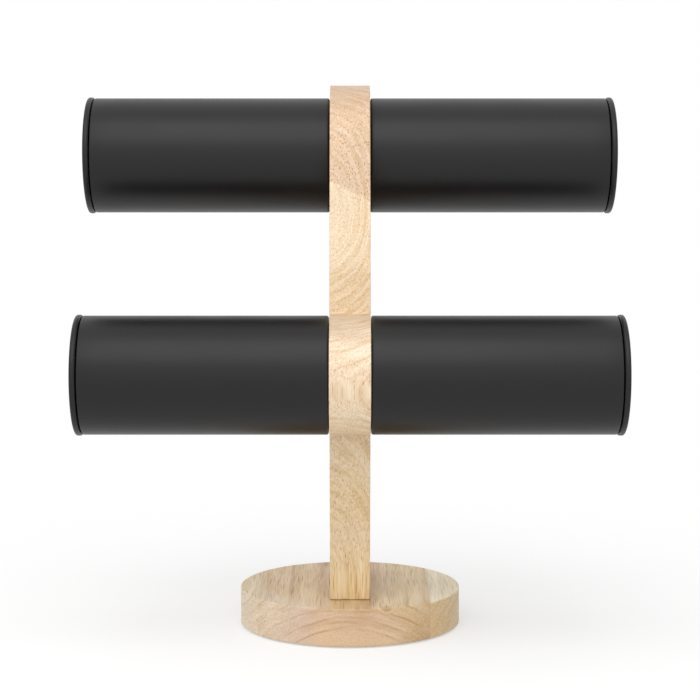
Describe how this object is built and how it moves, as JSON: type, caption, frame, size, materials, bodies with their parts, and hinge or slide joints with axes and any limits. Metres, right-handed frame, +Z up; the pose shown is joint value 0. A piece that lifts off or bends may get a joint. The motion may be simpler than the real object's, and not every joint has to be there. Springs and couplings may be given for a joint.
{
  "type": "bracelet display",
  "caption": "Two-tier bracelet stand: a bent upright wooden board on a round foot, with leatherette rolls that push onto dowels to hold bracelets and watches.",
  "frame": {"origin": "middle of the underside of the round foot's pad, where the stand rests", "axes": "+Z up, +X to the right along the rolls as seen by the customer, -Y towards the customer"},
  "size_m": [0.2912, 0.1579, 0.3044],
  "materials": {
    "foot_wood": "satin clear lacquer",
    "board_wood": "satin clear lacquer",
    "dowel_wood": "raw, sanded",
    "leatherette": "satin, fine grain",
    "paperboard": "raw wound board",
    "fibreboard": "raw fibreboard",
    "greyboard": "raw greyboard",
    "pad": "matt foam",
    "screw_steel": "zinc plated"
  },
  "bodies": {
    "stand": {"base_stave_left": "foot_wood", "base_stave_centre": "foot_wood", "base_stave_right": "foot_wood", "base_pad": "pad", "post": "board_wood", "post_screws": "screw_steel"},
    "upper_bar": {"upper_dowel": "dowel_wood"},
    "upper_left_roll": {"upper_left_cover": "leatherette", "upper_left_tube": "paperboard", "upper_left_inner_plug": "fibreboard", "upper_left_support_disc": "fibreboard", "upper_left_outer_plug": "fibreboard", "upper_left_cap_board": "greyboard", "upper_left_cap_cover": "leatherette"},
    "upper_right_roll": {"upper_right_cover": "leatherette", "upper_right_tube": "paperboard", "upper_right_inner_plug": "fibreboard", "upper_right_support_disc": "fibreboard", "upper_right_outer_plug": "fibreboard", "upper_right_cap_board": "greyboard", "upper_right_cap_cover": "leatherette"},
    "lower_bar": {"lower_dowel": "dowel_wood"},
    "lower_left_roll": {"lower_left_cover": "leatherette", "lower_left_tube": "paperboard", "lower_left_inner_plug": "fibreboard", "lower_left_support_disc": "fibreboard", "lower_left_outer_plug": "fibreboard", "lower_left_cap_board": "greyboard", "lower_left_cap_cover": "leatherette"},
    "lower_right_roll": {"lower_right_cover": "leatherette", "lower_right_tube": "paperboard", "lower_right_inner_plug": "fibreboard", "lower_right_support_disc": "fibreboard", "lower_right_outer_plug": "fibreboard", "lower_right_cap_board": "greyboard", "lower_right_cap_cover": "leatherette"}
  },
  "joints": [
    {"name": "upper_bar_turn", "type": "hinge", "parent": "stand", "child": "upper_bar", "pos_m": [0, 0, 0.2656], "axis": [1, 0, 0], "continuous": true},
    {"name": "upper_left_roll_pull", "type": "slide", "parent": "upper_bar", "child": "upper_left_roll", "axis": [-1, 0, 0], "range_m": [0, 0.055]},
    {"name": "upper_right_roll_pull", "type": "slide", "parent": "upper_bar", "child": "upper_right_roll", "axis": [1, 0, 0], "range_m": [0, 0.055]},
    {"name": "lower_bar_turn", "type": "hinge", "parent": "stand", "child": "lower_bar", "pos_m": [0, -0.0635, 0.1493], "axis": [1, 0, 0], "continuous": true},
    {"name": "lower_left_roll_pull", "type": "slide", "parent": "lower_bar", "child": "lower_left_roll", "axis": [-1, 0, 0], "range_m": [0, 0.055]},
    {"name": "lower_right_roll_pull", "type": "slide", "parent": "lower_bar", "child": "lower_right_roll", "axis": [1, 0, 0], "range_m": [0, 0.055]}
  ]
}
